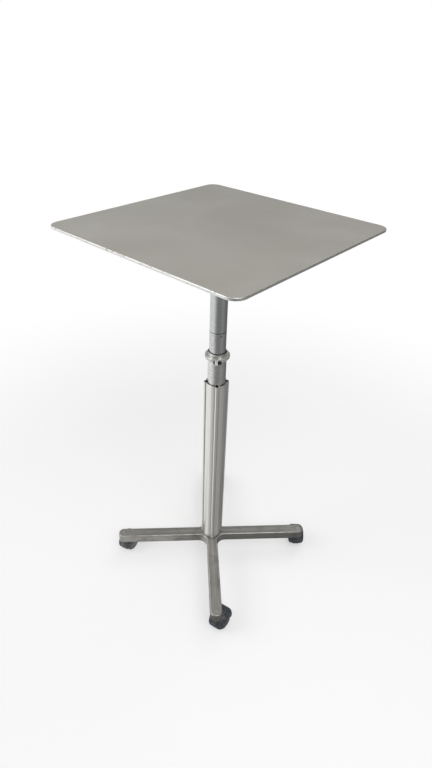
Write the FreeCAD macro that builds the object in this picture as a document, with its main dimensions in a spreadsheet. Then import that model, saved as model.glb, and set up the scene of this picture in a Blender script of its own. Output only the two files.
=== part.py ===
import FreeCAD, Part
import math
import os
import re

import Sketcher

# A square-topped pedestal table on four casters: a ribbed column, two telescoping
# tubes, a pinch collar and a top that swivels on a spigot.
# Millimetres and degrees, +Z up, origin on the floor under the column.

SIZES = {
    # square top
    "table_height": 1026,
    "top_side": 500,
    "top_thickness": 6,
    "top_corner_radius": 25,
    "top_edge_round": 1.5,
    # mounting plate and its socket
    "plate_side": 150,
    "plate_thickness": 4,
    "plate_corner_radius": 12,
    "plate_hole_spacing": 116,
    "socket_wall": 5,
    "socket_depth": 30,
    "top_screw_radius": 2.5,
    "top_screw_head_radius": 4.6,
    "top_screw_head_depth": 2.5,
    "top_screw_bite": 4,
    # telescoping tubes
    "inner_tube_radius": 20,
    "inner_tube_wall": 2,
    "inner_tube_length": 228,
    "swivel_height": 784,
    "middle_tube_radius": 22.5,
    "middle_tube_bore": 20.5,
    "middle_tube_length": 430,
    "middle_tube_height": 730,
    "collet_length": 24,
    "collet_mouth": 1.2,
    "slit_width": 2,
    "slit_depth": 20,
    # glide, guide shoe and guide bush
    "glide_length": 12,
    "glide_plug_length": 18,
    "glide_bore": 12,
    "shoe_sleeve_length": 150,
    "shoe_lip": 8,
    "shoe_key_length": 30,
    "bush_length": 30,
    "bush_recess": 12,
    # swivel spigot and its bush
    "spigot_radius": 15,
    "spigot_plug_length": 40,
    "spigot_length": 50,
    "flange_thickness": 1.6,
    "spigot_chamfer": 2,
    "set_screw_radius": 2,
    "set_screw_length": 7,
    "set_screw_drop": 6,
    "set_screw_recess": 0.3,
    "set_screw_angle": -27,
    # pinch collar
    "collar_radius": 30,
    "collar_depth": 8,
    "collar_height": 713.5,
    "collar_edge": 1,
    "collar_angle": -52,
    "lug_reach": 43,
    "lug_half_width": 3,
    "lug_round": 3,
    "split_width": 1,
    "clamp_screw_radius": 2,
    "clamp_screw_place": 36,
    "clamp_head_radius": 4,
    "clamp_head_length": 9,
    "clamp_flutes": 10,
    "clamp_flute_radius": 0.7,
    "clamp_nut_flats": 7,
    "clamp_nut_depth": 3.2,
    # column extrusion
    "column_length": 555.5,
    "column_radius": 26.5,
    "column_bore": 23.8,
    "rib_count": 4,
    "rib_half_width": 4.75,
    "rib_reach": 31,
    "port_radius": 3,
    "port_neck_width": 3.6,
    # cast base
    "arm_depth": 26,
    "arm_width": 31.5,
    "arm_reach": 282,
    "arm_tip_round": 14,
    "arm_inner_round": 25,
    "arm_edge_round": 3.5,
    "arm_wall": 5,
    "arm_roof": 6,
    "arm_rib": 5,
    "hub_reach": 40,
    "tip_boss_length": 34,
    "base_turn": 45,
    "foot_rim_width": 2,
    "foot_rim_height": 2.5,
    "locator_height": 6,
    "column_screw_bite": 20,
    "column_screw_head_radius": 5,
    "column_screw_head_depth": 6,
    # casters
    "caster_inset": 12.5,
    "caster_trail": 25.5,
    "caster_width": 47.3,
    "wheel_radius": 25,
    "tyre_thickness": 3,
    "tyre_edge": 1,
    "wheel_tuck": 1.4,
    "wheel_recess": 6,
    "wheel_rim": 3,
    "wheel_lip": 1.2,
    "wheel_dish": 1.5,
    "wheel_hub_radius": 8,
    "wheel_cap_radius": 13.5,
    "wheel_cap_slope": 3,
    "wheel_cap_gap": 1,
    "housing_width": 17,
    "hood_gap": 5.7,
    "hood_wall": 2.3,
    "hood_round": 14.5,
    "hood_clearance": 3,
    "hood_boss_radius": 8,
    "hood_cap_radius": 12,
    "hood_cap_depth": 4.5,
    "housing_ground_gap": 9,
    "axle_radius": 4,
    "axle_inset": 3.5,
    "stem_radius": 5.5,
    "stem_grip": 20,
    "stem_drop": 32,
    "stem_flange_radius": 10,
    "stem_flange_depth": 2,
    "stem_point": 1,
    "socket_radius": 6.5,
    "socket_sink": 0.3,
    "caster_turn_front": 101,
    "caster_turn_right": 130.5,
    "caster_turn_back": 78,
    "caster_turn_left": 103.5,
    # clearances
    "running_gap": 0.05,
    "press_gap": 0.02,
    "key_gap": 0.15,
    "foot_gap": 0.3,
    "side_gap": 0.4,
    "screw_gap": 0.1,
}

CASTERS = {"front": -45, "right": 45, "back": 135, "left": 225}

HOOD_RADIUS = "(wheel_radius + hood_gap + hood_wall)"
ARM_UNDERSIDE = f"(wheel_radius + {HOOD_RADIUS} + hood_clearance)"
ARM_TOP = f"({ARM_UNDERSIDE} + arm_depth)"
COLUMN_TOP = f"({ARM_TOP} + column_length)"
RIB_CENTRE = "(rib_reach - rib_half_width)"
CASTER_PLACE = "(arm_reach - caster_inset)"
TOP_UNDERSIDE = "(table_height - top_thickness)"
PLATE_UNDERSIDE = f"({TOP_UNDERSIDE} - plate_thickness)"
MIDDLE_BOTTOM = "(middle_tube_height - middle_tube_length)"
INNER_BOTTOM = "(swivel_height - inner_tube_length)"
INNER_BORE = "(inner_tube_radius - inner_tube_wall)"
POST_BOTTOM = "(swivel_height + flange_thickness)"
SOCKET_BORE = "(inner_tube_radius + press_gap)"
SCREW_PORT = "(port_radius + screw_gap)"
NEAR = 0.01

doc = FreeCAD.newDocument("PedestalTable")
sheet = doc.addObject("Spreadsheet::Sheet", "Sizes")
subParts = []
sizeWord = re.compile(r"[a-z]+(?:_[a-z]+)+")


# ---- the sheet and the formulas that read it

def fillSheet():
    for row, (name, number) in enumerate(SIZES.items(), start=1):
        sheet.set(f"A{row}", name)
        sheet.set(f"B{row}", str(number))
        sheet.setAlias(f"B{row}", name)
    doc.recompute()


def inSheet(formula):
    return sizeWord.sub(lambda word: "Sizes." + word.group(0), str(formula))


def size(formula):
    return float(sheet.evalExpression(str(formula)))


def bind(thing, name, formula):
    thing.setExpression(name, inSheet(formula))


# ---- sub-parts and their places

def place(thing, x="0", y="0", z="0", turn="0"):
    bind(thing, "Placement.Base.x", x)
    bind(thing, "Placement.Base.y", y)
    bind(thing, "Placement.Base.z", z)
    bind(thing, "Placement.Rotation.Angle", turn)


def subPart(thing, label):
    thing.Label = label
    subParts.append(thing)
    return thing


def newBody(label, **where):
    body = subPart(doc.addObject("PartDesign::Body", label), label)
    place(body, **where)
    return body


def originPart(body, role):
    return next(part for part in body.Origin.OriginFeatures if part.Role == role)


# ---- sketches

def newSketch(body, plane="XY_Plane", height="0"):
    sketch = body.newObject("Sketcher::SketchObject", body.Name + "_sketch")
    sketch.AttachmentSupport = [(originPart(body, plane), "")]
    sketch.MapMode = "FlatFace"
    bind(sketch, "AttachmentOffset.Base.z", height)
    return sketch


def fix(sketch, kind, *where, to):
    number = sketch.addConstraint(Sketcher.Constraint(kind, *where, size(to)))
    bind(sketch, f"Constraints[{number}]", to)


def fixPoint(sketch, line, end, x, y):
    fix(sketch, "DistanceX", -1, 1, line, end, to=x)
    fix(sketch, "DistanceY", -1, 1, line, end, to=y)


def outline(sketch, *corners):
    """Closed outline of straight lines through corners given as formulas."""
    first = sketch.GeometryCount
    points = [FreeCAD.Vector(size(x), size(y), 0) for x, y in corners]
    last = len(points) - 1
    for index, point in enumerate(points):
        following = points[0 if index == last else index + 1]
        sketch.addGeometry(Part.LineSegment(point, following), False)
    for index, (x, y) in enumerate(corners):
        following = first if index == last else first + index + 1
        sketch.addConstraint(Sketcher.Constraint("Coincident", first + index, 2, following, 1))
        fixPoint(sketch, first + index, 1, x, y)
    return sketch


def stepToward(corner, other, radius):
    """Point a radius along the upright or level line from one corner to another."""
    x, y = corner[:2]
    across = size(other[0]) - size(x)
    up = size(other[1]) - size(y)
    if abs(across) > abs(up):
        return (f"({x}) {'+' if across > 0 else '-'} ({radius})", y)
    return (x, f"({y}) {'+' if up > 0 else '-'} ({radius})")


def cornerPieces(before, corner, after):
    """Starts of the pieces that make one corner: the start, the centre and the radius of an arc."""
    if len(corner) == 2:
        return [(corner, None, None)]
    radius = corner[2]
    start = stepToward(corner, before, radius)
    end = stepToward(corner, after, radius)
    isLevel = start[1] == corner[1]
    centre = (start[0], end[1]) if isLevel else (end[0], start[1])
    return [(start, centre, radius), (end, None, None)]


def roundedOutline(sketch, *corners):
    """Closed outline of level and upright lines, where a third formula is a corner's radius."""
    count = len(corners)
    pieces = []
    for index, corner in enumerate(corners):
        pieces += cornerPieces(corners[index - 1], corner, corners[(index + 1) % count])
    points = [FreeCAD.Vector(size(start[0]), size(start[1]), 0) for start, centre, radius in pieces]
    up = FreeCAD.Vector(0, 0, 1)
    starts = []
    for index, (start, centre, radius) in enumerate(pieces):
        following = points[(index + 1) % len(points)]
        if centre is None:
            sketch.addGeometry(Part.LineSegment(points[index], following), False)
            starts.append(1)
            continue
        middle = FreeCAD.Vector(size(centre[0]), size(centre[1]), 0)
        first = math.atan2(points[index].y - middle.y, points[index].x - middle.x)
        second = math.atan2(following.y - middle.y, following.x - middle.x)
        turnsLeft = (second - first) % (2 * math.pi) < math.pi
        angles = (first, second) if turnsLeft else (second, first)
        sketch.addGeometry(Part.ArcOfCircle(Part.Circle(middle, up, size(radius)), *angles), False)
        starts.append(1 if turnsLeft else 2)
    for index, (start, centre, radius) in enumerate(pieces):
        following = (index + 1) % len(pieces)
        end = 3 - starts[index]
        sketch.addConstraint(Sketcher.Constraint("Coincident", index, end, following, starts[following]))
        fixPoint(sketch, index, starts[index], *start)
        if radius:
            fix(sketch, "Radius", index, to=radius)
    return sketch


def rectangle(sketch, left, right, bottom, top):
    return outline(sketch, (left, bottom), (right, bottom), (right, top), (left, top))


def circle(sketch, radius, x="0", y="0"):
    centre = FreeCAD.Vector(size(x), size(y), 0)
    up = FreeCAD.Vector(0, 0, 1)
    number = sketch.addGeometry(Part.Circle(centre, up, size(radius)), False)
    fixPoint(sketch, number, 3, x, y)
    fix(sketch, "Radius", number, to=radius)
    return sketch


# ---- features

def pad(body, sketch, length, midplane=False):
    feature = body.newObject("PartDesign::Pad", body.Name + "_pad")
    feature.Profile = sketch
    bind(feature, "Length", length)
    if midplane:
        feature.SideType = "Symmetric"
    doc.recompute()
    return feature


def pocket(body, sketch, length, upward=False, midplane=False):
    before = body.Shape.Volume
    feature = body.newObject("PartDesign::Pocket", body.Name + "_pocket")
    feature.Profile = sketch
    bind(feature, "Length", length)
    feature.Reversed = upward
    if midplane:
        feature.SideType = "Symmetric"
    doc.recompute()
    if body.Shape.Volume >= before:
        raise ValueError(body.Label + ": a pocket cuts nothing")
    return feature


def revolve(body, sketch, axis="V_Axis", angle="360"):
    feature = body.newObject("PartDesign::Revolution", body.Name + "_revolution")
    feature.Profile = sketch
    feature.ReferenceAxis = (sketch, [axis])
    bind(feature, "Angle", angle)
    doc.recompute()
    return feature


def repeatRound(body, features, count):
    feature = body.newObject("PartDesign::PolarPattern", body.Name + "_pattern")
    feature.Originals = features
    feature.Axis = (originPart(body, "Z_Axis"), [""])
    feature.Angle = 360
    bind(feature, "Occurrences", count)
    body.Tip = feature
    doc.recompute()
    return feature


def edgeNames(feature, wanted):
    edges = feature.Shape.Edges
    return [f"Edge{number}" for number, edge in enumerate(edges, start=1) if wanted(edge)]


def dress(body, kind, base, wanted, radius):
    feature = body.newObject("PartDesign::" + kind, body.Name + "_" + kind.lower())
    feature.Base = (base, edgeNames(base, wanted))
    bind(feature, "Radius" if kind == "Fillet" else "Size", radius)
    doc.recompute()
    return feature


def isUpright(edge):
    box = edge.BoundBox
    return box.ZLength > NEAR and box.XLength < NEAR and box.YLength < NEAR


def isAtHeight(height):
    return lambda edge: max(abs(edge.BoundBox.ZMin - height), abs(edge.BoundBox.ZMax - height)) < NEAR


def edgeReach(edge):
    middle = edge.valueAt((edge.FirstParameter + edge.LastParameter) / 2)
    return math.hypot(middle.x, middle.y)


# ---- the square top and what carries it

def tableTop():
    body = newBody("table_top", z=TOP_UNDERSIDE)
    half = "top_side / 2"
    base = pad(body, rectangle(newSketch(body), f"-{half}", half, f"-{half}", half), "top_thickness")
    base = dress(body, "Fillet", base, isUpright, "top_corner_radius")
    rims = (isAtHeight(0), isAtHeight(size("top_thickness")))
    dress(body, "Fillet", base, lambda edge: any(isRim(edge) for isRim in rims), "top_edge_round")
    holes = newSketch(body)
    for x in (-1, 1):
        for y in (-1, 1):
            spacing = "plate_hole_spacing / 2"
            circle(holes, "top_screw_radius + screw_gap", f"{x} * {spacing}", f"{y} * {spacing}")
    pocket(body, holes, "top_screw_bite + 0.5", upward=True)


def mountingPlate():
    body = newBody("mounting_plate", z=PLATE_UNDERSIDE)
    half = "plate_side / 2"
    base = pad(body, rectangle(newSketch(body), f"-{half}", half, f"-{half}", half), "plate_thickness")
    dress(body, "Fillet", base, isUpright, "plate_corner_radius")
    socket = newSketch(body, height="-socket_depth")
    pad(body, circle(socket, "inner_tube_radius + socket_wall"), "socket_depth")
    pocket(body, circle(newSketch(body), SOCKET_BORE), "socket_depth")
    holes = newSketch(body)
    for x in (-1, 1):
        for y in (-1, 1):
            spacing = "plate_hole_spacing / 2"
            circle(holes, "top_screw_radius + screw_gap", f"{x} * {spacing}", f"{y} * {spacing}")
    pocket(body, holes, "plate_thickness", upward=True)
    cross = newSketch(body, "YZ_Plane")
    circle(cross, "set_screw_radius + screw_gap", y="-socket_depth / 2")
    pocket(body, cross, "2 * (inner_tube_radius + 2 * socket_wall)", midplane=True)


def makeScrew(radius, length, headRadius, headDepth):
    """Screw that points up from its head's bearing face, with a round key hole in the head."""
    head = Part.makeCylinder(headRadius, headDepth, FreeCAD.Vector(0, 0, -headDepth))
    key = Part.makeCylinder(headRadius / 2, headDepth / 2, FreeCAD.Vector(0, 0, -headDepth))
    return head.cut(key).fuse(Part.makeCylinder(radius, length))


def sameGroup(label, piece, places, height):
    """Identical upright pieces, as separate solids of one sub-part."""
    copies = []
    for x, y in places:
        copy = piece.copy()
        copy.translate(FreeCAD.Vector(x, y, 0))
        copies.append(copy)
    group = subPart(doc.addObject("Part::Feature", label), label)
    group.Shape = Part.makeCompound(copies)
    place(group, z=height)


def topScrews():
    headRadius = size("top_screw_head_radius")
    length = size("plate_thickness + top_screw_bite")
    screw = makeScrew(size("top_screw_radius"), length, headRadius, size("top_screw_head_depth"))
    half = size("plate_hole_spacing / 2")
    places = [(x, y) for x in (-half, half) for y in (-half, half)]
    sameGroup("top_screws", screw, places, PLATE_UNDERSIDE)


def setScrew(start, length, direction):
    """Headless screw along X, from its point at start to the key hole in its outer end."""
    radius = size("set_screw_radius")
    along = FreeCAD.Vector(direction, 0, 0)
    key = Part.makeCylinder(radius * 0.55, length * 0.4, along * (start + length * 0.6), along)
    return Part.makeCylinder(radius, length, along * start, along).cut(key)


def postSetScrews():
    length = size("socket_wall - 2 * press_gap")
    start = size("inner_tube_radius + 2 * press_gap")
    group = subPart(doc.addObject("Part::Feature", "post_set_screws"), "post_set_screws")
    group.Shape = Part.makeCompound([setScrew(start, length, side) for side in (-1, 1)])
    place(group, z=f"{PLATE_UNDERSIDE} - socket_depth / 2")


def topPost():
    body = newBody("top_post", z=POST_BOTTOM)
    ring = circle(circle(newSketch(body), "inner_tube_radius"), INNER_BORE)
    pad(body, ring, f"{PLATE_UNDERSIDE} - {POST_BOTTOM}")


def postBush():
    body = newBody("post_bush", z="swivel_height")
    sleeveTop = "flange_thickness + spigot_length - 2 * spigot_chamfer"
    bore = "spigot_radius + running_gap"
    outside = f"{INNER_BORE} - press_gap"
    profile = outline(newSketch(body, "XZ_Plane"),
                      (bore, "0"), ("inner_tube_radius", "0"), ("inner_tube_radius", "flange_thickness"),
                      (outside, "flange_thickness"), (outside, sleeveTop), (bore, sleeveTop))
    revolve(body, profile)


# ---- the upper stage

def innerTube():
    body = newBody("inner_tube", z=INNER_BOTTOM, turn="set_screw_angle")
    ring = circle(circle(newSketch(body), "inner_tube_radius"), INNER_BORE)
    pad(body, ring, "inner_tube_length")
    hole = newSketch(body, "YZ_Plane")
    circle(hole, "set_screw_radius + screw_gap", y="inner_tube_length - set_screw_drop")
    pocket(body, hole, "inner_tube_radius", upward=True)


def innerGlide():
    body = newBody("inner_glide", z=INNER_BOTTOM)
    outside = "middle_tube_bore - running_gap"
    plug = f"{INNER_BORE} - press_gap"
    profile = outline(newSketch(body, "XZ_Plane"),
                      ("glide_bore", "-glide_length"), (outside, "-glide_length"), (outside, "0"),
                      (plug, "0"), (plug, "glide_plug_length"), ("glide_bore", "glide_plug_length"))
    revolve(body, profile)


def swivelSpigot():
    body = newBody("swivel_spigot", z="swivel_height", turn="set_screw_angle")
    plug = f"{INNER_BORE} - press_gap"
    top = "flange_thickness + spigot_length"
    profile = outline(newSketch(body, "XZ_Plane"),
                      ("0", "-spigot_plug_length"), (plug, "-spigot_plug_length"), (plug, "0"),
                      ("spigot_radius", "0"), ("spigot_radius", f"{top} - spigot_chamfer"),
                      ("spigot_radius - spigot_chamfer", top), ("0", top))
    revolve(body, profile)
    hole = newSketch(body, "YZ_Plane", height=INNER_BORE)
    circle(hole, "set_screw_radius + screw_gap", y="-set_screw_drop")
    pocket(body, hole, "set_screw_length + set_screw_recess - inner_tube_wall + press_gap")


def spigotSetScrew():
    start = size("inner_tube_radius - set_screw_recess - set_screw_length")
    single = subPart(doc.addObject("Part::Feature", "spigot_set_screw"), "spigot_set_screw")
    single.Shape = setScrew(start, size("set_screw_length"), 1)
    place(single, z="swivel_height - set_screw_drop", turn="set_screw_angle")


# ---- the middle stage and its pinch collar

def middleTube():
    body = newBody("middle_tube", z=MIDDLE_BOTTOM, turn="base_turn")
    grip = "inner_tube_radius + running_gap"
    shoulder = "middle_tube_length - collet_length"
    top = "middle_tube_length"
    profile = outline(newSketch(body, "XZ_Plane"),
                      ("middle_tube_bore", "0"), ("middle_tube_radius", "0"),
                      ("middle_tube_radius", top), (f"{grip} + collet_mouth", top),
                      (grip, f"{top} - 2 * collet_mouth"), (grip, shoulder),
                      ("middle_tube_bore", f"{shoulder} - 1"))
    revolve(body, profile)
    half = "slit_width / 2"
    slit = newSketch(body, height=top)
    rectangle(slit, "inner_tube_radius / 2", "middle_tube_radius + 1", f"-{half}", half)
    repeatRound(body, [pocket(body, slit, "slit_depth")], "rib_count")


def middleGuideShoe():
    body = newBody("middle_guide_shoe", z=MIDDLE_BOTTOM, turn="base_turn")
    outside = "column_bore - running_gap"
    inside = "middle_tube_radius + press_gap"
    profile = outline(newSketch(body, "XZ_Plane"),
                      ("middle_tube_bore", "-shoe_lip"), (outside, "-shoe_lip"),
                      (outside, "shoe_sleeve_length"), (inside, "shoe_sleeve_length"),
                      (inside, "0"), ("middle_tube_bore", "0"))
    revolve(body, profile)
    half = "(port_neck_width / 2 - key_gap)"
    key = newSketch(body, height="-shoe_lip")
    rectangle(key, "middle_tube_radius + 0.5", f"{RIB_CENTRE} + port_radius / 2", f"-{half}", half)
    repeatRound(body, [pad(body, key, "shoe_key_length")], "rib_count")


def clampCollar():
    body = newBody("clamp_collar", z="collar_height", turn="collar_angle")
    pad(body, circle(newSketch(body), "collar_radius"), "collar_depth")
    half = "lug_half_width"
    lugs = rectangle(newSketch(body), "middle_tube_radius", "lug_reach", f"-{half}", half)
    base = pad(body, lugs, "collar_depth")
    lugEnd = size("lug_reach")
    base = dress(body, "Fillet", base,
                 lambda edge: abs(edge.BoundBox.XMin - lugEnd) < NEAR and edge.BoundBox.YLength > NEAR,
                 "lug_round")
    pocket(body, circle(newSketch(body), "middle_tube_radius + press_gap"), "collar_depth", upward=True)
    slot = rectangle(newSketch(body), "0", "lug_reach + 1", "-split_width / 2", "split_width / 2")
    pocket(body, slot, "collar_depth", upward=True)
    hole = newSketch(body, "XZ_Plane")
    circle(hole, "clamp_screw_radius + running_gap", "clamp_screw_place", "collar_depth / 2")
    base = pocket(body, hole, "4 * lug_half_width", midplane=True)
    collarRadius = size("collar_radius")
    dress(body, "Chamfer", base,
          lambda edge: edge.BoundBox.ZLength < NEAR and abs(edgeReach(edge) - collarRadius) < NEAR,
          "collar_edge")


def alongClampScrew(thing, distance):
    """Turns a piece made along Z to lie along the screw, at a distance from the collar's split."""
    reach = "clamp_screw_place"
    turn = "collar_angle"
    bind(thing, "Placement.Base.x", f"{reach} * cos({turn}) - ({distance}) * sin({turn})")
    bind(thing, "Placement.Base.y", f"{reach} * sin({turn}) + ({distance}) * cos({turn})")
    bind(thing, "Placement.Base.z", "collar_height + collar_depth / 2")
    radians = math.radians(size(turn))
    along = FreeCAD.Vector(-math.sin(radians), math.cos(radians), 0)
    thing.Placement.Rotation = FreeCAD.Rotation(FreeCAD.Vector(0, 0, 1), along)


def clampNut():
    body = subPart(doc.addObject("PartDesign::Body", "clamp_nut"), "clamp_nut")
    alongClampScrew(body, "-lug_half_width - clamp_nut_depth")
    flat = "clamp_nut_flats / 2"
    corners = [(f"{flat} / cos(30) * cos({turn})", f"{flat} / cos(30) * sin({turn})")
               for turn in range(0, 360, 60)]
    hexagon = outline(newSketch(body), *corners)
    pad(body, circle(hexagon, "clamp_screw_radius + running_gap"), "clamp_nut_depth")


def clampScrew():
    body = subPart(doc.addObject("PartDesign::Body", "clamp_screw"), "clamp_screw")
    alongClampScrew(body, "lug_half_width")
    thread = "2 * lug_half_width + clamp_nut_depth + 1"
    head = "clamp_head_radius"
    edge = "clamp_flute_radius"
    profile = outline(newSketch(body, "XZ_Plane"),
                      ("0", f"-({thread})"), ("clamp_screw_radius", f"-({thread})"),
                      ("clamp_screw_radius", "0"), (head, "0"), (head, f"clamp_head_length - {edge}"),
                      (f"{head} - {edge}", "clamp_head_length"), ("0", "clamp_head_length"))
    revolve(body, profile)
    flute = newSketch(body, height="clamp_head_length")
    circle(flute, "clamp_flute_radius", head)
    repeatRound(body, [pocket(body, flute, "clamp_head_length - 1")], "clamp_flutes")


# ---- the column and its bush

def padLobes(body, height, length, wider="0"):
    """The column's outline: a round tube with a half-round rib on each side."""
    pad(body, circle(newSketch(body, height=height), f"column_radius + {wider}"), length)
    rib = circle(newSketch(body, height=height), f"rib_half_width + {wider}", RIB_CENTRE)
    return repeatRound(body, [pad(body, rib, length)], "rib_count")


def column():
    body = newBody("column", z=ARM_TOP, turn="base_turn")
    padLobes(body, "0", "column_length")
    pocket(body, circle(newSketch(body), "column_bore"), "column_length", upward=True)
    port = pocket(body, circle(newSketch(body), "port_radius", RIB_CENTRE), "column_length", upward=True)
    half = "port_neck_width / 2"
    neck = rectangle(newSketch(body), "column_bore / 2", RIB_CENTRE, f"-{half}", half)
    neck = pocket(body, neck, "column_length", upward=True)
    repeatRound(body, [port, neck], "rib_count")


def columnGuideBush():
    body = newBody("column_guide_bush", z=f"{COLUMN_TOP} - bush_recess - bush_length", turn="base_turn")
    ring = circle(newSketch(body), "column_bore - press_gap")
    pad(body, circle(ring, "middle_tube_radius + running_gap"), "bush_length")
    half = "(port_neck_width / 2 - press_gap)"
    nib = rectangle(newSketch(body), "column_bore - 0.5", f"{RIB_CENTRE} + press_gap", f"-{half}", half)
    repeatRound(body, [pad(body, nib, "bush_length / 2")], "rib_count")


def columnScrews():
    headDepth = size("column_screw_head_depth")
    length = size("arm_depth + column_screw_bite") - headDepth
    screw = makeScrew(size("port_radius - press_gap"), length, size("column_screw_head_radius"), headDepth)
    reach = size(RIB_CENTRE)
    count = int(size("rib_count"))
    turns = [math.radians(size("base_turn") + 360 * index / count) for index in range(count)]
    places = [(reach * math.cos(turn), reach * math.sin(turn)) for turn in turns]
    sameGroup("column_screws", screw, places, f"{ARM_UNDERSIDE} + column_screw_head_depth")


# ---- the cast base

def crossOutline(sketch):
    width = "arm_width / 2"
    reach = "arm_reach"
    return outline(sketch,
                   (reach, f"-{width}"), (reach, width), (width, width),
                   (width, reach), (f"-{width}", reach), (f"-{width}", width),
                   (f"-{reach}", width), (f"-{reach}", f"-{width}"), (f"-{width}", f"-{width}"),
                   (f"-{width}", f"-{reach}"), (width, f"-{reach}"), (width, f"-{width}"))


def baseCross():
    body = newBody("base_cross", z=ARM_UNDERSIDE, turn="base_turn")
    base = pad(body, crossOutline(newSketch(body)), "arm_depth")
    inner = size("arm_width / 2") * math.sqrt(2)
    base = dress(body, "Fillet", base,
                 lambda edge: isUpright(edge) and edgeReach(edge) > inner + NEAR, "arm_tip_round")
    base = dress(body, "Fillet", base,
                 lambda edge: isUpright(edge) and abs(edgeReach(edge) - inner) < NEAR, "arm_inner_round")
    dress(body, "Fillet", base, isAtHeight(size("arm_depth")), "arm_edge_round")
    footRim(body)
    locator = newSketch(body, height="arm_depth")
    pad(body, circle(locator, "column_bore - running_gap"), "locator_height")

    inside = "(arm_width / 2 - arm_wall)"
    cellEnd = "(arm_reach - tip_boss_length)"
    cellMiddle = f"((hub_reach + {cellEnd}) / 2)"
    cells = newSketch(body)
    rectangle(cells, "hub_reach", f"{cellMiddle} - arm_rib / 2", f"-{inside}", inside)
    rectangle(cells, f"{cellMiddle} + arm_rib / 2", cellEnd, f"-{inside}", inside)
    cells = pocket(body, cells, "arm_depth - arm_roof", upward=True)
    screwHole = circle(newSketch(body), SCREW_PORT, RIB_CENTRE)
    screwHole = pocket(body, screwHole, "arm_depth + locator_height", upward=True)
    headHole = circle(newSketch(body), "column_screw_head_radius + screw_gap", RIB_CENTRE)
    headHole = pocket(body, headHole, "column_screw_head_depth", upward=True)
    socketHole = circle(newSketch(body), "socket_radius + press_gap", CASTER_PLACE)
    socketHole = pocket(body, socketHole, "arm_depth", upward=True)
    repeatRound(body, [cells, screwHole, headHole, socketHole], "rib_count")


def footRim(body):
    """Low rim that the column's foot stands in, cut out to the column's outline."""
    root = "arm_edge_round"
    padLobes(body, f"arm_depth - {root}", f"foot_rim_height + {root}", "(foot_gap + foot_rim_width)")
    rimTop = newSketch(body, height="arm_depth + foot_rim_height")
    pocket(body, circle(rimTop, "column_radius + foot_gap"), "foot_rim_height")
    lobe = newSketch(body, height="arm_depth + foot_rim_height")
    lobe = pocket(body, circle(lobe, "rib_half_width + foot_gap", RIB_CENTRE), "foot_rim_height")
    repeatRound(body, [lobe], "rib_count")


def stemSockets():
    """Closed sleeves pressed through the arms' tips, one round each caster's stem."""
    length = size("arm_depth - socket_sink")
    bore = Part.makeCylinder(size("stem_radius + running_gap"), size("stem_grip + running_gap"))
    sleeve = Part.makeCylinder(size("socket_radius"), length).cut(bore)
    reach = size(CASTER_PLACE)
    turns = [math.radians(arm) for arm in CASTERS.values()]
    places = [(reach * math.cos(turn), reach * math.sin(turn)) for turn in turns]
    sameGroup("stem_sockets", sleeve, places, ARM_UNDERSIDE)


# ---- the casters

def casterPlace(name, along="0"):
    """Where a caster's swivel axis is, or a point further along its trail."""
    arm = CASTERS[name]
    heading = "caster_turn_" + name
    return {"x": f"{CASTER_PLACE} * cos({arm}) + ({along}) * cos({heading})",
            "y": f"{CASTER_PLACE} * sin({arm}) + ({along}) * sin({heading})"}


def casterStem(name):
    body = newBody("caster_stem_" + name, z=ARM_UNDERSIDE, **casterPlace(name))
    radius = "stem_radius"
    flange = "stem_flange_radius"
    point = "stem_point"
    profile = outline(newSketch(body, "XZ_Plane"),
                      ("0", "-stem_drop"), (f"{radius} - {point}", "-stem_drop"),
                      (radius, f"{point} - stem_drop"), (radius, "-stem_flange_depth"),
                      (flange, "-stem_flange_depth"), (flange, "0"), (radius, "0"),
                      (radius, f"stem_grip - {point}"), (f"{radius} - {point}", "stem_grip"),
                      ("0", "stem_grip"))
    revolve(body, profile)


def casterHood(name):
    """Domed hood over both wheels, with the housing between them and the stem's boss."""
    body = newBody("caster_hood_" + name, turn="caster_turn_" + name, **casterPlace(name))
    shell = newSketch(body, height="wheel_radius")
    side = "(caster_width / 2)"
    sideInner = f"({side} - hood_wall)"
    web = "(housing_width / 2)"
    axle = "caster_trail"
    outer = f"({axle} + {HOOD_RADIUS})"
    inner = f"({outer} - hood_wall)"
    opening = f"({axle} + wheel_cap_radius + wheel_cap_gap)"
    dome = "hood_round"
    roundedOutline(shell, (axle, f"-{web}"), (inner, f"-{web}"), (inner, f"-{sideInner}", DOME_INSIDE),
                   (opening, f"-{sideInner}"), (opening, f"-{side}"), (outer, f"-{side}", dome),
                   (outer, side, dome), (opening, side), (opening, sideInner),
                   (inner, sideInner, DOME_INSIDE), (inner, web), (axle, web))
    revolve(body, shell, axis="Edge16", angle="180")
    drop = newSketch(body, "XZ_Plane")
    drop = rectangle(drop, f"{axle} - wheel_radius + tyre_thickness", f"{axle} + wheel_hub_radius",
                     "housing_ground_gap", "wheel_radius")
    pad(body, drop, "housing_width", midplane=True)
    boss = newSketch(body, height="wheel_radius")
    capTop = f"{ARM_UNDERSIDE} - stem_flange_depth - side_gap"
    pad(body, circle(boss, "hood_boss_radius"), f"{capTop} - wheel_radius")
    cap = newSketch(body, height=f"{capTop} - hood_cap_depth")
    pad(body, circle(cap, "hood_cap_radius"), "hood_cap_depth")
    bore = newSketch(body, height=capTop)
    pocket(body, circle(bore, "stem_radius + running_gap"),
           "stem_drop - stem_flange_depth + side_gap / 2")
    axleHole = newSketch(body, "XZ_Plane")
    circle(axleHole, "axle_radius + press_gap", axle, "wheel_radius")
    pocket(body, axleHole, "caster_width", midplane=True)


def casterAxle(name):
    body = newBody("caster_axle_" + name, z="wheel_radius", turn="caster_turn_" + name,
                   **casterPlace(name, "caster_trail"))
    length = "caster_width - 2 * axle_inset"
    pad(body, circle(newSketch(body, "XZ_Plane"), "axle_radius"), length, midplane=True)


def wheelBody(label, name, flip):
    return newBody(label, z="wheel_radius", turn=f"caster_turn_{name} + {flip}",
                   **casterPlace(name, "caster_trail"))


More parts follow.
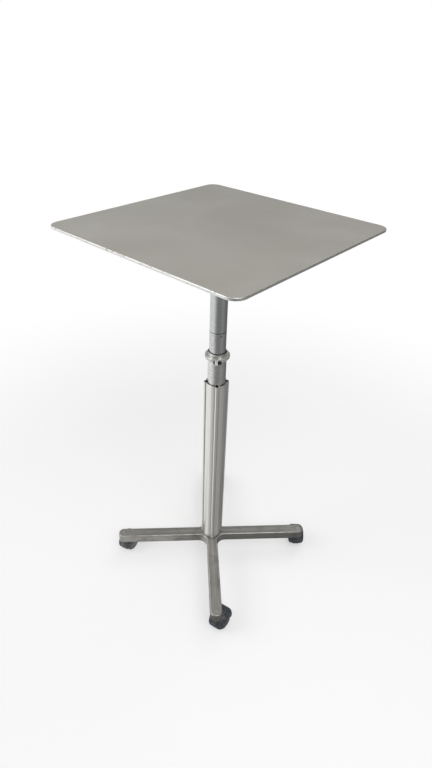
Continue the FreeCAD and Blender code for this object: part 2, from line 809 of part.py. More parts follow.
WHEEL_INSIDE = "(housing_width / 2 + side_gap)"
WHEEL_FACE = "(caster_width / 2 - hood_wall - wheel_tuck)"
DOME_INSIDE = "(hood_round - hood_wall)"
DOME_ROOM = (f"({WHEEL_FACE} + hood_gap + hood_wall - hood_round"
             f" + sqrt(({DOME_INSIDE} - side_gap)^2 - ({DOME_INSIDE} - wheel_tuck)^2))")
WHEEL_SLOPE = f"min({WHEEL_FACE} - tyre_thickness - wheel_dish / 2; {DOME_ROOM})"
WHEEL_RIM = "(wheel_radius - tyre_thickness)"


def wheelCore(name, side, flip):
    """Wheel turned about its axle: open towards the housing, dished outside round a raised cap."""
    body = wheelBody(f"wheel_{name}_{side}", name, flip)
    web = f"({WHEEL_INSIDE} + wheel_recess)"
    slopeEnd = f"({WHEEL_RIM} + {WHEEL_SLOPE} + tyre_thickness - {WHEEL_FACE})"
    dishEdge = f"({slopeEnd} - wheel_lip)"
    dish = f"({WHEEL_FACE} - wheel_dish)"
    capFace = "(caster_width / 2)"
    cap = "wheel_cap_radius"
    hub = "wheel_hub_radius"
    bore = "(axle_radius + running_gap)"
    axleEnd = f"({capFace} - axle_inset + side_gap)"
    rimInside = f"({WHEEL_RIM} - wheel_rim)"
    profile = outline(newSketch(body, "YZ_Plane"),
                      (WHEEL_INSIDE, bore), (WHEEL_INSIDE, hub), (web, hub), (web, rimInside),
                      (WHEEL_INSIDE, rimInside), (WHEEL_INSIDE, WHEEL_RIM),
                      (f"{WHEEL_SLOPE} + tyre_thickness", WHEEL_RIM), (WHEEL_FACE, slopeEnd),
                      (WHEEL_FACE, dishEdge), (dish, f"{dishEdge} - wheel_dish"),
                      (dish, cap), (f"{capFace} - wheel_cap_slope", cap),
                      (capFace, f"{cap} - wheel_cap_slope"), (capFace, "0"), (axleEnd, "0"),
                      (axleEnd, bore))
    revolve(body, profile, axis="H_Axis")


def tyre(name, side, flip):
    """Tread round the wheel, sloped outside where the hood curves in."""
    body = wheelBody(f"tyre_{name}_{side}", name, flip)
    profile = outline(newSketch(body, "YZ_Plane"),
                      (WHEEL_INSIDE, WHEEL_RIM), (f"{WHEEL_SLOPE} + tyre_thickness", WHEEL_RIM),
                      (WHEEL_SLOPE, "wheel_radius"), (f"{WHEEL_INSIDE} + tyre_edge", "wheel_radius"),
                      (WHEEL_INSIDE, "wheel_radius - tyre_edge"))
    revolve(body, profile, axis="H_Axis")


def caster(name):
    casterStem(name)
    casterHood(name)
    casterAxle(name)
    for side, flip in (("left", 0), ("right", 180)):
        wheelCore(name, side, flip)
        tyre(name, side, flip)


# ---- build, check and write

def build():
    fillSheet()
    baseCross()
    column()
    columnGuideBush()
    columnScrews()
    stemSockets()
    for name in CASTERS:
        caster(name)
    middleTube()
    middleGuideShoe()
    clampCollar()
    clampNut()
    clampScrew()
    innerTube()
    innerGlide()
    swivelSpigot()
    spigotSetScrew()
    tableTop()
    mountingPlate()
    topPost()
    postBush()
    topScrews()
    postSetScrews()
    doc.recompute()


def check():
    for thing in doc.Objects:
        if {"Invalid", "Error"} & set(thing.State):
            raise ValueError(f"{thing.Name} did not build: {thing.State}")
    for part in subParts:
        if part.Shape.isNull() or not part.Shape.isValid() or not part.Shape.Solids:
            raise ValueError(f"{part.Label} has no sound solid")


def write():
    os.makedirs("parts", exist_ok=True)
    for part in subParts:
        part.Shape.exportStep(f"parts/{part.Label}.step")


build()
check()
write()
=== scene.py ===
import math

import bpy
from mathutils import Matrix, Vector

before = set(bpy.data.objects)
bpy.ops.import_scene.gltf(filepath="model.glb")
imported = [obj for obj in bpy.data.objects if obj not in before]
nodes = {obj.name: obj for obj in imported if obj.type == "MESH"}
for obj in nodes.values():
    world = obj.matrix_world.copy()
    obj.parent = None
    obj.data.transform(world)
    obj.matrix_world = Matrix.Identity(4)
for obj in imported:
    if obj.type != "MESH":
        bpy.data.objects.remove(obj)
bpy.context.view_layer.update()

print("frame loaded:", len(nodes), "nodes")


# camera: turned round the column by its azimuth, then pitched down and rolled
cameraSetup = {
    "azimuth": 40.85,       # degrees, 0 looks along +Y
    "reach": 1.0493,        # metres from the column's axis
    "aside": -0.001,
    "height": 1.3554,
    "pitch": 34.53,         # degrees below level
    "roll": -1.88,
    "lens": 24.12,
    "sensor": 36.0,
}


def addCamera():
    turn = math.radians(cameraSetup["azimuth"])
    pitch = math.radians(cameraSetup["pitch"])
    roll = math.radians(cameraSetup["roll"])
    ahead = Vector((-math.sin(turn), math.cos(turn), 0))
    right = Vector((math.cos(turn), math.sin(turn), 0))
    look = ahead * math.cos(pitch) - Vector((0, 0, math.sin(pitch)))
    down = -ahead * math.sin(pitch) - Vector((0, 0, math.cos(pitch)))
    rolledRight = right * math.cos(roll) + down * math.sin(roll)
    rolledUp = right * math.sin(roll) - down * math.cos(roll)
    spot = -ahead * cameraSetup["reach"] + right * cameraSetup["aside"]
    spot.z = cameraSetup["height"]
    axes = Matrix((rolledRight, rolledUp, -look)).transposed().to_4x4()
    data = bpy.data.cameras.new("camera")
    data.lens = cameraSetup["lens"]
    data.sensor_width = cameraSetup["sensor"]
    camera = bpy.data.objects.new("camera", data)
    camera.matrix_world = Matrix.Translation(spot) @ axes
    bpy.context.scene.collection.objects.link(camera)
    bpy.context.scene.camera = camera


addCamera()
print("camera placed")


# small helpers for node trees: a value is a number, a colour or another node's output
def setInput(tree, socket, value):
    if isinstance(value, bpy.types.NodeSocket):
        tree.links.new(value, socket)
    else:
        socket.default_value = value


def combine(tree, how, first, second):
    node = tree.nodes.new("ShaderNodeMath")
    node.operation = how
    setInput(tree, node.inputs[0], first)
    setInput(tree, node.inputs[1], second)
    return node.outputs[0]


# soft step of a value from one limit to the other
def band(tree, value, low, high, toLow=0.0, toHigh=1.0):
    node = tree.nodes.new("ShaderNodeMapRange")
    node.interpolation_type = "SMOOTHSTEP"
    setInput(tree, node.inputs["Value"], value)
    node.inputs["From Min"].default_value = low
    node.inputs["From Max"].default_value = high
    node.inputs["To Min"].default_value = toLow
    node.inputs["To Max"].default_value = toHigh
    return node.outputs["Result"]


def distance(tree, where):
    node = tree.nodes.new("ShaderNodeVectorMath")
    node.operation = "LENGTH"
    tree.links.new(where, node.inputs[0])
    return node.outputs["Value"]


# studio: white floor that keeps a soft shadow, a key from the left, a fill beside the camera
# and a lamp beyond the table
studio = {
    "floorSize": 40.0,
    "floorColor": (0.8, 0.8, 0.79),
    "floorRoughness": 0.9,
    "floorShade": 0.52,         # share of the floor's white that a shadow can take away
    "floorFade": (0.7, 1.9),    # metres from the column over which the shadow fades out
    "ambient": 0.42,
    # each lamp's place, power in watts and width
    "lamps": {
        "key": ((-2.3, -2.7, 3.1), 56.0, 2.2),
        "fill": ((1.57, -0.9, 2.7), 34.0, 2.0),
        "back": ((-0.14, 2.0, 3.2), 14.0, 2.0),
    },
    "aim": (0, 0, 0.6),
    # how bright the room looks in polished metal, by turn: 0 is beyond the table, a quarter is
    # on the camera's left, a half on its own side and three quarters on its right
    "roomTurn": 49.15,
    "room": ((0.0, 0.34), (0.07, 0.80), (0.14, 1.0), (0.33, 1.0), (0.40, 0.52), (0.46, 0.26),
             (0.58, 0.26), (0.65, 0.34), (0.75, 0.24), (0.88, 0.14), (1.0, 0.34)),
}
white = (1, 1, 1, 1)


def areaLight(name, spot, power, width):
    data = bpy.data.lights.new(name, "AREA")
    data.energy = power
    data.size = width
    lamp = bpy.data.objects.new(name, data)
    lamp.location = spot
    lamp.rotation_euler = (Vector(studio["aim"]) - Vector(spot)).to_track_quat("-Z", "Y").to_euler()
    bpy.context.scene.collection.objects.link(lamp)


def mixShaders(tree, share, first, second):
    node = tree.nodes.new("ShaderNodeMixShader")
    tree.links.new(share, node.inputs[0])
    tree.links.new(first, node.inputs[1])
    tree.links.new(second, node.inputs[2])
    return node.outputs[0]


# lit shader for light that bounces, one look for gloss and another for the camera and glass
def rayMix(tree, lit, glossy, plain):
    path = tree.nodes.new("ShaderNodeLightPath")
    bounced = mixShaders(tree, path.outputs["Is Glossy Ray"], lit, glossy)
    direct = combine(tree, "MAXIMUM", path.outputs["Is Camera Ray"], path.outputs["Is Transmission Ray"])
    return mixShaders(tree, direct, bounced, plain)


# grey of the room in each direction round the column
def roomTone(tree, where):
    turned = tree.nodes.new("ShaderNodeMapping")
    turned.inputs["Rotation"].default_value = (0, 0, math.radians(studio["roomTurn"]))
    tree.links.new(where, turned.inputs["Vector"])
    sweep = tree.nodes.new("ShaderNodeTexGradient")
    sweep.gradient_type = "RADIAL"
    tree.links.new(turned.outputs["Vector"], sweep.inputs["Vector"])
    ramp = tree.nodes.new("ShaderNodeValToRGB")
    stops = ramp.color_ramp.elements
    first, *middle, last = studio["room"]
    stops[0].position, stops[0].color = first[0], (first[1],) * 3 + (1,)
    stops[1].position, stops[1].color = last[0], (last[1],) * 3 + (1,)
    for spot, grey in middle:
        stops.new(spot).color = (grey, grey, grey, 1)
    tree.links.new(sweep.outputs["Fac"], ramp.inputs["Fac"])
    return ramp.outputs["Color"]


def addWorld():
    world = bpy.data.worlds.new("studio")
    world.use_nodes = True
    bpy.context.scene.world = world
    tree = world.node_tree
    ambient = tree.nodes["Background"]
    ambient.inputs["Color"].default_value = white
    ambient.inputs["Strength"].default_value = studio["ambient"]
    room = tree.nodes.new("ShaderNodeBackground")
    place = tree.nodes.new("ShaderNodeTexCoord")
    tree.links.new(roomTone(tree, place.outputs["Generated"]), room.inputs["Color"])
    plain = tree.nodes.new("ShaderNodeBackground")
    plain.inputs["Color"].default_value = white
    out = rayMix(tree, ambient.outputs[0], room.outputs[0], plain.outputs[0])
    tree.links.new(out, tree.nodes["World Output"].inputs["Surface"])


def glow(tree, color, strength=1.0):
    node = tree.nodes.new("ShaderNodeEmission")
    setInput(tree, node.inputs["Color"], color)
    node.inputs["Strength"].default_value = strength
    return node.outputs[0]


def floorPaint():
    paint = bpy.data.materials.new("paleFloor")
    paint.use_nodes = True
    tree = paint.node_tree
    lit = tree.nodes["Principled BSDF"]
    lit.inputs["Base Color"].default_value = (*studio["floorColor"], 1)
    lit.inputs["Roughness"].default_value = studio["floorRoughness"]
    place = tree.nodes.new("ShaderNodeTexCoord").outputs["Object"]
    shade = tree.nodes.new("ShaderNodeBsdfDiffuse")
    shade.inputs["Color"].default_value = (studio["floorShade"],) * 3 + (1,)
    near = tree.nodes.new("ShaderNodeAddShader")
    tree.links.new(shade.outputs[0], near.inputs[0])
    tree.links.new(glow(tree, white, 1 - studio["floorShade"]), near.inputs[1])
    fade = band(tree, distance(tree, place), *studio["floorFade"])
    seen = mixShaders(tree, fade, near.outputs[0], glow(tree, white))
    # in reflections the floor glows with the room's grey, a painted reflection, pale on the camera's left
    # and darker round the rest
    out = rayMix(tree, lit.outputs[0], glow(tree, roomTone(tree, place)), seen)
    tree.links.new(out, tree.nodes["Material Output"].inputs["Surface"])
    return paint


def addFloor():
    half = studio["floorSize"] / 2
    mesh = bpy.data.meshes.new("floor")
    corners = [(-half, -half, 0), (half, -half, 0), (half, half, 0), (-half, half, 0)]
    mesh.from_pydata(corners, [], [(0, 1, 2, 3)])
    mesh.materials.append(floorPaint())
    floor = bpy.data.objects.new("floor", mesh)
    bpy.context.scene.collection.objects.link(floor)


addWorld()
addFloor()
for lampName, lampSetup in studio["lamps"].items():
    areaLight(lampName, *lampSetup)
bpy.context.scene.view_settings.view_transform = "Standard"
print("studio lit")


# helpers for the finishes, all in metres on the piece itself: a texture's scale is its number
# of cells to the metre, and a turn is in degrees
def startFinish(name, look):
    material = bpy.data.materials.new(name)
    material.use_nodes = True
    tree = material.node_tree
    shader = tree.nodes["Principled BSDF"]
    shader.inputs["Metallic"].default_value = look["metal"]
    shader.inputs["Specular IOR Level"].default_value = look.get("specular", 0.5)
    return material, tree, shader


# position on the piece, scaled so that a texture runs along or round it
def stretched(tree, scale, turn=(0, 0, 0)):
    place = tree.nodes.new("ShaderNodeTexCoord")
    mapping = tree.nodes.new("ShaderNodeMapping")
    mapping.inputs["Scale"].default_value = scale
    mapping.inputs["Rotation"].default_value = [math.radians(a) for a in turn]
    tree.links.new(place.outputs["Object"], mapping.inputs["Vector"])
    return mapping.outputs["Vector"]


def noise(tree, where, detail=3.0, rough=0.55, warp=0.0):
    node = tree.nodes.new("ShaderNodeTexNoise")
    node.inputs["Scale"].default_value = 1.0
    node.inputs["Detail"].default_value = detail
    node.inputs["Roughness"].default_value = rough
    node.inputs["Distortion"].default_value = warp
    tree.links.new(where, node.inputs["Vector"])
    return node.outputs["Fac"]


# noise with cells as long as they are wide
def speckle(tree, scale, **settings):
    return noise(tree, stretched(tree, (scale, scale, scale)), **settings)


# limits that hold nearly all of a noise
mostNoise = (0.3, 0.7)


def average(tree, first, second):
    return combine(tree, "MULTIPLY", combine(tree, "ADD", first, second), 0.5)


def tint(tree, amount, first, second):
    node = tree.nodes.new("ShaderNodeMix")
    node.data_type = "RGBA"
    setInput(tree, node.inputs["Factor"], amount)
    for socket, color in ((node.inputs[6], first), (node.inputs[7], second)):
        setInput(tree, socket, (*color, 1) if isinstance(color, tuple) else color)
    return node.outputs[2]


# adds relief of that depth on top of any relief the shader has
def dent(tree, shader, height, depth):
    node = tree.nodes.new("ShaderNodeBump")
    node.inputs["Strength"].default_value = 1.0
    node.inputs["Distance"].default_value = depth
    tree.links.new(height, node.inputs["Height"])
    if shader.inputs["Normal"].links:
        tree.links.new(shader.inputs["Normal"].links[0].from_socket, node.inputs["Normal"])
    tree.links.new(node.outputs["Normal"], shader.inputs["Normal"])


# straight scuffs that gather in patches
scuffLook = {"patchScale": 9, "patches": (0.42, 0.62), "lines": (0.70, 0.80)}


# 1 on a scuff and 0 off it
def scratches(tree, along, across, turn):
    lines = noise(tree, stretched(tree, (along, across, across), turn), detail=1.0)
    patch = speckle(tree, scuffLook["patchScale"], detail=1.0)
    return combine(tree, "MULTIPLY", band(tree, lines, *scuffLook["lines"]),
                   band(tree, patch, *scuffLook["patches"]))


def twoScratches(tree, first, second):
    return combine(tree, "MAXIMUM", scratches(tree, *first), scratches(tree, *second))


# how far the surface points up, from the piece's own normal: 0 at the first limit, 1 at the last
def facingUp(tree, low, high):
    place = tree.nodes.new("ShaderNodeTexCoord")
    split = tree.nodes.new("ShaderNodeSeparateXYZ")
    tree.links.new(place.outputs["Normal"], split.inputs[0])
    return band(tree, split.outputs[2], low, high)


# distance along and across the nearest arm or rib, which stand on the diagonals, and the height
def folded(tree):
    split = tree.nodes.new("ShaderNodeSeparateXYZ")
    tree.links.new(stretched(tree, (1, 1, 1), (0, 0, -45)), split.inputs[0])
    first = combine(tree, "ABSOLUTE", split.outputs[0], 0)
    second = combine(tree, "ABSOLUTE", split.outputs[1], 0)
    along = combine(tree, "MAXIMUM", first, second)
    across = combine(tree, "MINIMUM", first, second)
    return along, across, split.outputs[2]


# fine streaks that run along each arm
def armStreaks(tree, along, across, detail):
    length, side, height = folded(tree)
    join = tree.nodes.new("ShaderNodeCombineXYZ")
    setInput(tree, join.inputs[0], combine(tree, "MULTIPLY", length, along))
    setInput(tree, join.inputs[1], combine(tree, "MULTIPLY", side, across))
    setInput(tree, join.inputs[2], combine(tree, "MULTIPLY", height, across))
    return noise(tree, join.outputs[0], detail=detail, rough=0.65)


def dress(material, *names):
    for name in names:
        slots = nodes[name].data.materials
        slots.clear()
        slots.append(material)


# square top: pale warm grey coat with a faint grain, wiped dull in patches
topLook = {
    "metal": 0.0, "specular": 0.4,
    "coat": (0.318, 0.304, 0.272), "coatPale": (0.352, 0.338, 0.306), "cloudScale": 5,
    "roughness": (0.34, 0.44),
    "wipeScale": (3, 14, 8), "wipeTurn": (0, 0, 35), "wiped": (0.25, 0.75),
    "grainScale": 1500, "grainDepth": 0.00004,
    # bare metal shows on the upright edge, but for the chips of coat that are left
    "bareAndHighlight": (0.76, 0.76, 0.74), "bareRoughness": 0.36,
    "edgeSlope": (0.60, 0.75), "chipScale": (90, 90, 400), "chips": (0.30, 0.42),
    # cells along and across the scuffs, and their turn
    "scuffs": ((10, 520, (0, 0, 24)), (14, 640, (0, 0, -58))),
    "wearAndSheen": (0.56, 0.55, 0.52), "scuffShare": 0.16, "scuffDepth": 0.00002,
}


def topFinish():
    material, tree, shader = startFinish("topCoat", topLook)
    cloud = speckle(tree, topLook["cloudScale"], detail=4.0, warp=0.4)
    color = tint(tree, band(tree, cloud, *mostNoise), topLook["coat"], topLook["coatPale"])
    scuff = twoScratches(tree, *topLook["scuffs"])
    share = combine(tree, "MULTIPLY", scuff, topLook["scuffShare"])
    color = tint(tree, share, color, topLook["wearAndSheen"])
    wipe = noise(tree, stretched(tree, topLook["wipeScale"], topLook["wipeTurn"]), detail=3.0)
    coatRoughness = band(tree, wipe, *topLook["wiped"], *topLook["roughness"])
    steep, flat = topLook["edgeSlope"]
    upright = combine(tree, "MULTIPLY", facingUp(tree, flat, steep), facingUp(tree, -flat, -steep))
    chips = band(tree, noise(tree, stretched(tree, topLook["chipScale"]), detail=4.0), *topLook["chips"])
    bareAndHighlight = combine(tree, "MULTIPLY", upright, chips)
    setInput(tree, shader.inputs["Base Color"], tint(tree, bareAndHighlight, color, topLook["bareAndHighlight"]))
    setInput(tree, shader.inputs["Metallic"], bareAndHighlight)
    step = combine(tree, "SUBTRACT", topLook["bareRoughness"], coatRoughness)
    roughness = combine(tree, "ADD", coatRoughness, combine(tree, "MULTIPLY", step, bareAndHighlight))
    setInput(tree, shader.inputs["Roughness"], roughness)
    dent(tree, shader, speckle(tree, topLook["grainScale"], detail=2.0), topLook["grainDepth"])
    dent(tree, shader, scuff, topLook["scuffDepth"])
    return material


# cast base: polished along its arms, gone dull and soiled, with a painted highlight on the fillets of its
# edges
castLook = {
    "metal": 0.85,
    "dull": (0.215, 0.209, 0.195), "bright": (0.385, 0.376, 0.354),
    # cells along and across an arm
    "fineStreaks": (7, 700), "broadStreaks": (3, 190), "streaks": (0.36, 0.64),
    "soil": (0.17, 0.152, 0.13), "cloudScale": 22, "soiled": (0.5, 0.75), "soilShare": 0.5,
    "roughness": (0.30, 0.46), "skinDepth": 0.00005,
    # a painted highlight, paler and less metallic, lies in patches where an edge slopes between a side and
    # a flat top
    "edge": (0.66, 0.64, 0.60), "edgeMetal": 0.35,
    "sideSlope": (0.45, 0.65), "flatSlope": (0.995, 0.96),
    "sheenPatchScale": 60, "sheenPatches": (0.3, 0.65), "sheenShare": (0.1, 0.5),
    "scuff": (16, 560, (0, 0, 45)), "scuffShare": 0.3,
}


def castFinish():
    material, tree, shader = startFinish("castMetal", castLook)
    cloud = speckle(tree, castLook["cloudScale"], detail=5.0, warp=0.5)
    fine = armStreaks(tree, *castLook["fineStreaks"], detail=3.0)
    broad = armStreaks(tree, *castLook["broadStreaks"], detail=2.0)
    streak = band(tree, average(tree, fine, broad), *castLook["streaks"])
    color = tint(tree, streak, castLook["dull"], castLook["bright"])
    soil = band(tree, cloud, *castLook["soiled"], 0.0, castLook["soilShare"])
    color = tint(tree, soil, color, castLook["soil"])
    # painted highlight on the fillets of the edges, broken into patches
    edge = combine(tree, "MULTIPLY", facingUp(tree, *castLook["sideSlope"]),
                   facingUp(tree, *castLook["flatSlope"]))
    sheenPatches = band(tree, speckle(tree, castLook["sheenPatchScale"], detail=3.0),
                  *castLook["sheenPatches"], *castLook["sheenShare"])
    wearAndSheen = combine(tree, "MULTIPLY", edge, sheenPatches)
    color = tint(tree, wearAndSheen, color, castLook["edge"])
    metal = band(tree, wearAndSheen, 0.0, 1.0, castLook["metal"], castLook["edgeMetal"])
    setInput(tree, shader.inputs["Metallic"], metal)
    scuff = combine(tree, "MULTIPLY", scratches(tree, *castLook["scuff"]), castLook["scuffShare"])
    setInput(tree, shader.inputs["Base Color"], tint(tree, scuff, color, castLook["edge"]))
    setInput(tree, shader.inputs["Roughness"], band(tree, cloud, *mostNoise, *castLook["roughness"]))
    dent(tree, shader, fine, castLook["skinDepth"])
    return material


# bright extrusion: fine lines drawn lengthwise by the die, and painted shade in the ports, the bore
# and the corners beside the ribs; the sawn rim is darkened less, in the same tone
columnLook = {
    "metal": 0.86,
    "bright": (0.86, 0.85, 0.82), "dull": (0.66, 0.65, 0.625),
    "lineScale": (1100, 1100, 1.6), "broadScale": (260, 260, 1.2), "drawn": (0.36, 0.62),
    "lineDepth": 0.00004,
    "roughness": (0.28, 0.42), "smudgeScale": (14, 14, 9),
    "grime": (0.035, 0.034, 0.032),
    "portPlace": 0.02625, "portRadius": 0.0035, "boreRadius": 0.0240,
    "cornerPlace": 0.0050, "cornerWidth": 0.0009, "cornerGrime": 0.62,
    "rimSlope": (0.6, 0.8), "rimGrime": 0.45,
}


def squared(tree, value):
    return combine(tree, "POWER", value, 2.0)


# 1 on the walls of the ports and the bore
def insideColumn(tree):
    along, across = folded(tree)[:2]
    fromPort = combine(tree, "SUBTRACT", along, columnLook["portPlace"])
    away = combine(tree, "ADD", squared(tree, fromPort), squared(tree, across))
    inPort = combine(tree, "LESS_THAN", away, columnLook["portRadius"] ** 2)
    reach = combine(tree, "ADD", squared(tree, along), squared(tree, across))
    inBore = combine(tree, "LESS_THAN", reach, columnLook["boreRadius"] ** 2)
    return combine(tree, "MAXIMUM", inPort, inBore)


# 1 in the inner corners, where a rib meets the round wall
def besideRibs(tree):
    across = folded(tree)[1]
    place, width = columnLook["cornerPlace"], columnLook["cornerWidth"]
    return combine(tree, "MULTIPLY", band(tree, across, place - width, place),
                   band(tree, across, place + width, place))


def columnFinish():
    material, tree, shader = startFinish("extrusion", columnLook)
    lines = noise(tree, stretched(tree, columnLook["lineScale"]), detail=3.0, rough=0.7)
    broad = noise(tree, stretched(tree, columnLook["broadScale"]), detail=2.0)
    drawn = band(tree, average(tree, lines, broad), *columnLook["drawn"])
    color = tint(tree, drawn, columnLook["dull"], columnLook["bright"])
    # painted shade in the corners beside the ribs, the ports and the bore, and a lighter darkening of the
    # sawn rim
    corner = combine(tree, "MULTIPLY", besideRibs(tree), columnLook["cornerGrime"])
    sawn = combine(tree, "MULTIPLY", facingUp(tree, *columnLook["rimSlope"]), columnLook["rimGrime"])
    for grimy in (corner, sawn, insideColumn(tree)):
        color = tint(tree, grimy, color, columnLook["grime"])
    setInput(tree, shader.inputs["Base Color"], color)
    smudge = noise(tree, stretched(tree, columnLook["smudgeScale"]), detail=4.0, warp=0.8)
    setInput(tree, shader.inputs["Roughness"], band(tree, smudge, *mostNoise, *columnLook["roughness"]))
    dent(tree, shader, lines, columnLook["lineDepth"])
    return material


# telescoping tubes: turned and polished round, and scored where they slide
tubeLook = {
    "post": {
        "metal": 1.0, "bright": (0.66, 0.675, 0.67), "dull": (0.50, 0.515, 0.51),
        "stain": (0.38, 0.39, 0.385), "rim": (0.30, 0.30, 0.30), "roughness": (0.16, 0.28),
        "mottle": 0.12, "mottleScale": 200, "score": 0.2, "ringDepth": 0.00002,
    },
    "inner": {
        "metal": 1.0, "bright": (0.72, 0.73, 0.72), "dull": (0.50, 0.51, 0.50),
        "stain": (0.34, 0.34, 0.335), "rim": (0.30, 0.30, 0.30), "roughness": (0.18, 0.34),
        "mottle": 0.35, "mottleScale": 200, "score": 0.7, "ringDepth": 0.00003,
    },
    "middle": {
        "metal": 1.0, "bright": (0.82, 0.82, 0.80), "dull": (0.62, 0.62, 0.605),
        "stain": (0.40, 0.39, 0.375), "rim": (0.03, 0.03, 0.03), "roughness": (0.24, 0.44),
        "mottle": 0.65, "mottleScale": 330, "score": 0.5, "ringDepth": 0.00003,
    },
}
# marks that all the tubes share
tubeMarks = {
    "ringScale": (10, 10, 1500), "rings": (0.32, 0.68),
    "mottleHeight": 0.8, "mottled": (0.47, 0.62), "dulled": (0.4, 0.65),
    "patchScale": (60, 60, 40), "patches": (0.3, 0.65), "patchShare": (0.35, 1.0),
    # cells along and round the tube, and the turn that lays the scores on it
    "scores": ((30, 620, (0, 62, 20)), (26, 700, (0, 86, 0))), "scoreColor": (0.16, 0.16, 0.16),
    "rimSlope": (0.35, 0.6),
}


def tubeFinish(name):
    look = tubeLook[name]
    material, tree, shader = startFinish(name + "Tube", look)
    rings = noise(tree, stretched(tree, tubeMarks["ringScale"]), detail=3.0, rough=0.7)
    color = tint(tree, band(tree, rings, *tubeMarks["rings"]), look["bright"], look["dull"])
    wide = look["mottleScale"]
    mottle = noise(tree, stretched(tree, (wide, wide, wide * tubeMarks["mottleHeight"])),
                   detail=4.0, rough=0.6, warp=0.3)
    patch = noise(tree, stretched(tree, tubeMarks["patchScale"]), detail=3.0)
    stain = combine(tree, "MULTIPLY", band(tree, mottle, *tubeMarks["mottled"], 0.0, look["mottle"]),
                    band(tree, patch, *tubeMarks["patches"], *tubeMarks["patchShare"]))
    color = tint(tree, stain, color, look["stain"])
    score = combine(tree, "MULTIPLY", twoScratches(tree, *tubeMarks["scores"]), look["score"])
    color = tint(tree, score, color, tubeMarks["scoreColor"])
    # painted shade on the upward-facing rims, nearly black on the middle tube
    color = tint(tree, facingUp(tree, *tubeMarks["rimSlope"]), color, look["rim"])
    setInput(tree, shader.inputs["Base Color"], color)
    dull = combine(tree, "MAXIMUM", band(tree, mottle, *tubeMarks["dulled"]), score)
    setInput(tree, shader.inputs["Roughness"], band(tree, dull, 0.0, 1.0, *look["roughness"]))
    dent(tree, shader, rings, look["ringDepth"])
    return material


# bare, blackened, coated and plated metal of the small pieces
metalLook = {
    "collarMetal": {
        "metal": 0.5, "bright": (0.66, 0.655, 0.64), "dull": (0.50, 0.495, 0.48),
        "roughness": (0.26, 0.4),
    },
    "plateCoat": {
        "metal": 0.0, "bright": (0.30, 0.29, 0.265), "dull": (0.25, 0.24, 0.22),
        "roughness": (0.36, 0.48),
    },
    "blackSteel": {
        "metal": 0.6, "bright": (0.045, 0.045, 0.048), "dull": (0.02, 0.02, 0.02),
        "roughness": (0.34, 0.55),
    },
    "socketSteel": {
        "metal": 0.9, "bright": (0.40, 0.39, 0.37), "dull": (0.30, 0.29, 0.275),
        "roughness": (0.30, 0.42),
    },
    "dullSteel": {
        "metal": 0.9, "bright": (0.34, 0.34, 0.335), "dull": (0.22, 0.22, 0.215),
        "roughness": (0.3, 0.5),
    },
    "zincSteel": {
        "metal": 1.0, "bright": (0.62, 0.61, 0.58), "dull": (0.42, 0.41, 0.38),
        "roughness": (0.28, 0.46),
    },
}
# skin that all of them share
metalSkin = {"patchScale": 210, "patches": (0.35, 0.65), "grainScale": 1500, "grainDepth": 0.00002}


def metalFinish(name):
    look = metalLook[name]
    material, tree, shader = startFinish(name, look)
    patch = speckle(tree, metalSkin["patchScale"], detail=4.0, warp=0.5)
    amount = band(tree, patch, *metalSkin["patches"])
    setInput(tree, shader.inputs["Base Color"], tint(tree, amount, look["bright"], look["dull"]))
    setInput(tree, shader.inputs["Roughness"], band(tree, patch, *mostNoise, *look["roughness"]))
    dent(tree, shader, speckle(tree, metalSkin["grainScale"], detail=2.0), metalSkin["grainDepth"])
    return material


# painted highlight: beyond its ring the collar's two ears are made near white and barely metallic
collarEarHighlight = {"ringRadius": 0.0302, "earRadius": 0.0308, "bareAndHighlight": (0.97, 0.96, 0.94), "metal": 0.05}


def collarFinish():
    material = metalFinish("collarMetal")
    tree = material.node_tree
    shader = tree.nodes["Principled BSDF"]
    reach = distance(tree, stretched(tree, (1, 1, 0)))
    # painted highlight on the ears
    earHighlight = band(tree, reach, collarEarHighlight["ringRadius"], collarEarHighlight["earRadius"])
    color = shader.inputs["Base Color"].links[0].from_socket
    setInput(tree, shader.inputs["Base Color"], tint(tree, earHighlight, color, collarEarHighlight["bareAndHighlight"]))
    metal = band(tree, earHighlight, 0.0, 1.0, metalLook["collarMetal"]["metal"], collarEarHighlight["metal"])
    setInput(tree, shader.inputs["Metallic"], metal)
    return material


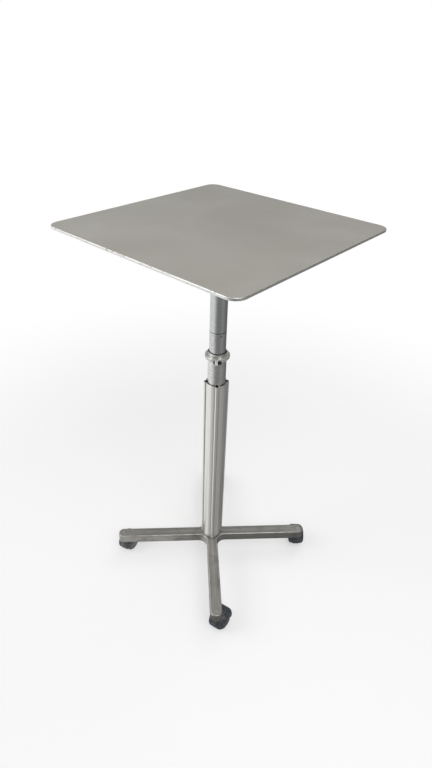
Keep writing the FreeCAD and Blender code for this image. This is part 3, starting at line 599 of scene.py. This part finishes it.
# moulded plastic and tread of the casters, and the dark plastic bushes
mouldLook = {
    "hoodPlastic": {
        "metal": 0.0, "dark": (0.036, 0.041, 0.049), "dust": (0.22, 0.225, 0.23),
        "roughness": (0.30, 0.52), "dustShare": 0.7,
    },
    "wheelPlastic": {
        "metal": 0.0, "dark": (0.060, 0.066, 0.076), "dust": (0.20, 0.20, 0.20),
        "roughness": (0.36, 0.56), "dustShare": 0.6,
    },
    "treadRubber": {
        "metal": 0.0, "dark": (0.035, 0.037, 0.042), "dust": (0.21, 0.205, 0.195),
        "roughness": (0.55, 0.8), "dustShare": 0.8,
    },
    "bushPlastic": {
        "metal": 0.0, "dark": (0.012, 0.012, 0.013), "dust": (0.05, 0.05, 0.05),
        "roughness": (0.4, 0.55), "dustShare": 0.3,
    },
}
# dust and stipple that all of them share
mouldSkin = {
    "dustScale": 230, "dusty": (0.46, 0.72), "dulled": (0.4, 0.7),
    "stippleScale": 1700, "stippleDepth": 0.00004,
}


def mouldFinish(name):
    look = mouldLook[name]
    material, tree, shader = startFinish(name, look)
    dust = speckle(tree, mouldSkin["dustScale"], detail=6.0, rough=0.65, warp=0.6)
    amount = band(tree, dust, *mouldSkin["dusty"], 0.0, look["dustShare"])
    setInput(tree, shader.inputs["Base Color"], tint(tree, amount, look["dark"], look["dust"]))
    setInput(tree, shader.inputs["Roughness"], band(tree, dust, *mouldSkin["dulled"], *look["roughness"]))
    dent(tree, shader, speckle(tree, mouldSkin["stippleScale"], detail=1.0), mouldSkin["stippleDepth"])
    return material


casterNames = ("front", "right", "back", "left")


def dressNodes():
    dress(topFinish(), "table_top")
    dress(castFinish(), "base_cross")
    dress(metalFinish("socketSteel"), "stem_sockets")
    dress(columnFinish(), "column")
    dress(tubeFinish("post"), "top_post")
    dress(tubeFinish("inner"), "inner_tube")
    dress(tubeFinish("middle"), "middle_tube")
    dress(collarFinish(), "clamp_collar")
    dress(metalFinish("plateCoat"), "mounting_plate")
    dress(metalFinish("blackSteel"), "clamp_screw", "clamp_nut")
    dress(metalFinish("dullSteel"), "spigot_set_screw", "post_set_screws")
    zinc = metalFinish("zincSteel")
    dress(zinc, "column_screws", "top_screws", "swivel_spigot")
    dress(mouldFinish("bushPlastic"), "column_guide_bush", "middle_guide_shoe", "inner_glide", "post_bush")
    hood = mouldFinish("hoodPlastic")
    wheel = mouldFinish("wheelPlastic")
    tread = mouldFinish("treadRubber")
    for name in casterNames:
        dress(zinc, "caster_stem_" + name, "caster_axle_" + name)
        dress(hood, "caster_hood_" + name)
        for side in ("left", "right"):
            dress(wheel, f"wheel_{name}_{side}")
            dress(tread, f"tyre_{name}_{side}")


dressNodes()
print("finishes set")
